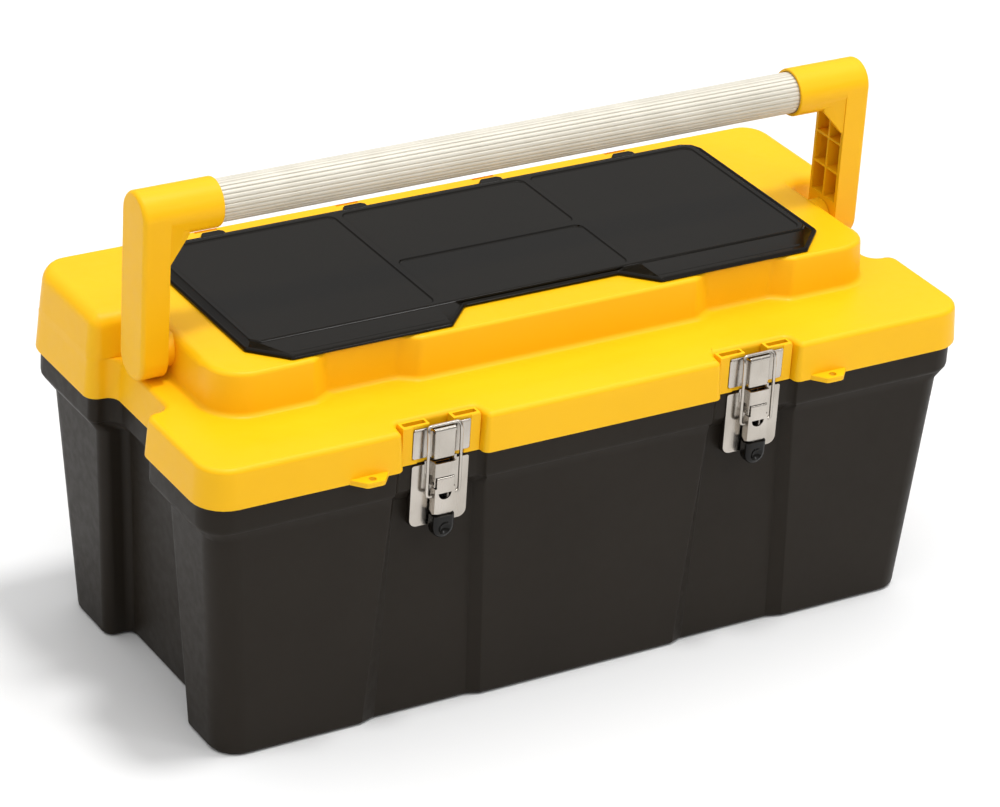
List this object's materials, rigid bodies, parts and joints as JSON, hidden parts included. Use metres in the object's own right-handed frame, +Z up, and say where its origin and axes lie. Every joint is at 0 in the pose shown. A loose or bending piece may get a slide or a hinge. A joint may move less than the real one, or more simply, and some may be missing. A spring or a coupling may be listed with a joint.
{
  "type": "toolbox with tray",
  "caption": "Moulded toolbox with a hinged lid, an organiser under a flap in the lid, a folding tube handle, draw latches and a lift-out tray.",
  "frame": {"origin": "on the floor, in the middle of the closed box's length and depth", "axes": "+X along the box, to the right seen from the front; +Y to the rear; +Z up"},
  "size_m": [0.61, 0.3002, 0.369],
  "materials": {
    "yellow_plastic": "satin moulded polypropylene",
    "black_plastic": "satin moulded polypropylene",
    "aluminium": "matt anodised, fluted",
    "latch_steel": "bright nickel plate",
    "steel": "bright"
  },
  "bodies": {
    "tub": {"tub": "black_plastic", "hinge_pin_left": "steel", "hinge_pin_right": "steel", "latch_base_left": "latch_steel", "latch_base_right": "latch_steel", "latch_rivets_left": "latch_steel", "latch_rivets_right": "latch_steel", "latch_pin_left": "latch_steel", "latch_pin_right": "latch_steel"},
    "lid": {"lid": "yellow_plastic", "padlock_eye_left": "yellow_plastic", "padlock_eye_right": "yellow_plastic", "organiser_bin": "yellow_plastic", "cover_pins": "steel", "latch_keeper_left": "latch_steel", "latch_keeper_right": "latch_steel"},
    "cover": {"organiser_cover": "black_plastic"},
    "handle": {"handle_arm_left": "yellow_plastic", "handle_arm_right": "yellow_plastic", "handle_clip_left": "steel", "handle_clip_right": "steel", "grip_tube": "aluminium"},
    "tray": {"tray": "black_plastic", "tray_grip": "yellow_plastic", "tray_divider_left": "black_plastic", "tray_divider_right": "black_plastic"},
    "lever_left": {"latch_lever_left": "latch_steel", "lever_tip_left": "black_plastic"},
    "bail_left": {"latch_bail_left": "latch_steel"},
    "lever_right": {"latch_lever_right": "latch_steel", "lever_tip_right": "black_plastic"},
    "bail_right": {"latch_bail_right": "latch_steel"}
  },
  "joints": [
    {"name": "lid_hinge", "type": "hinge", "parent": "tub", "child": "lid", "pos_m": [0, 0.1451, 0.195], "axis": [-1, 0, 0], "range_deg": [0, 100]},
    {"name": "organiser_hinge", "type": "hinge", "parent": "lid", "child": "cover", "pos_m": [0, 0.122, 0.26], "axis": [-1, 0, 0], "range_deg": [0, 27]},
    {"name": "handle_fold", "type": "hinge", "parent": "lid", "child": "handle", "pos_m": [0, 0.0035, 0.248], "axis": [1, 0, 0], "range_deg": [0, 90]},
    {"name": "tray_lift", "type": "slide", "parent": "tub", "child": "tray", "axis": [0, 0, 1], "range_m": [0, 0.018]},
    {"name": "lever_left_turn", "type": "hinge", "parent": "tub", "child": "lever_left", "pos_m": [-0.126, -0.1393, 0.1865], "axis": [-1, 0, 0], "range_deg": [0, 100]},
    {"name": "bail_left_swing", "type": "hinge", "parent": "lever_left", "child": "bail_left", "pos_m": [-0.126, -0.139, 0.1767], "axis": [-1, 0, 0], "range_deg": [-100, 0]},
    {"name": "lever_right_turn", "type": "hinge", "parent": "tub", "child": "lever_right", "pos_m": [0.126, -0.1393, 0.1865], "axis": [-1, 0, 0], "range_deg": [0, 100]},
    {"name": "bail_right_swing", "type": "hinge", "parent": "lever_right", "child": "bail_right", "pos_m": [0.126, -0.139, 0.1767], "axis": [-1, 0, 0], "range_deg": [-100, 0]}
  ],
  "couplings": [
    {"joint": "bail_left_swing", "follows": "lever_left_turn", "ratio": -1},
    {"joint": "bail_right_swing", "follows": "lever_right_turn", "ratio": -1}
  ]
}
